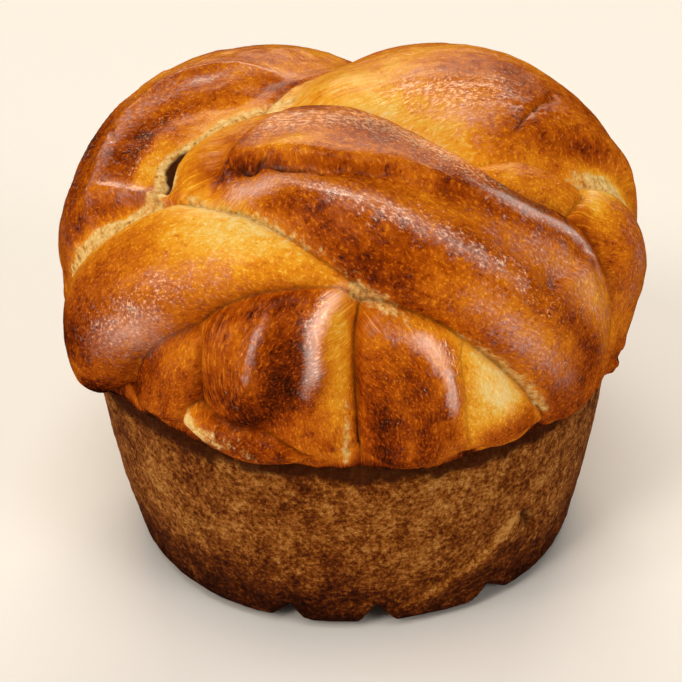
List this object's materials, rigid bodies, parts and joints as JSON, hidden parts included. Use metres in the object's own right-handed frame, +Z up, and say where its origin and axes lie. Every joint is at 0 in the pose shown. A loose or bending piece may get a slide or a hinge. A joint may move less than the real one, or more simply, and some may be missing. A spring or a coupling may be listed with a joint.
{
  "type": "filled braided bread",
  "caption": "Round loaf baked in a tin: a domed crown of thick glossy dough strands crossing each other, over a plain tapered base with a flat sole.",
  "frame": {"origin": "centre of the flat sole that the loaf stands on", "axes": "+Z up through the crown; -Y is the front, where the broad top strand runs down from left to right over three short ends; +X is to the right seen from the front"},
  "size_m": [0.1778, 0.1783, 0.1496],
  "materials": {
    "crust": "glossy golden-brown washed crust on the strands, matt porous brown crust on the base"
  },
  "bodies": {
    "root": {"bread": "crust"}
  },
  "joints": []
}
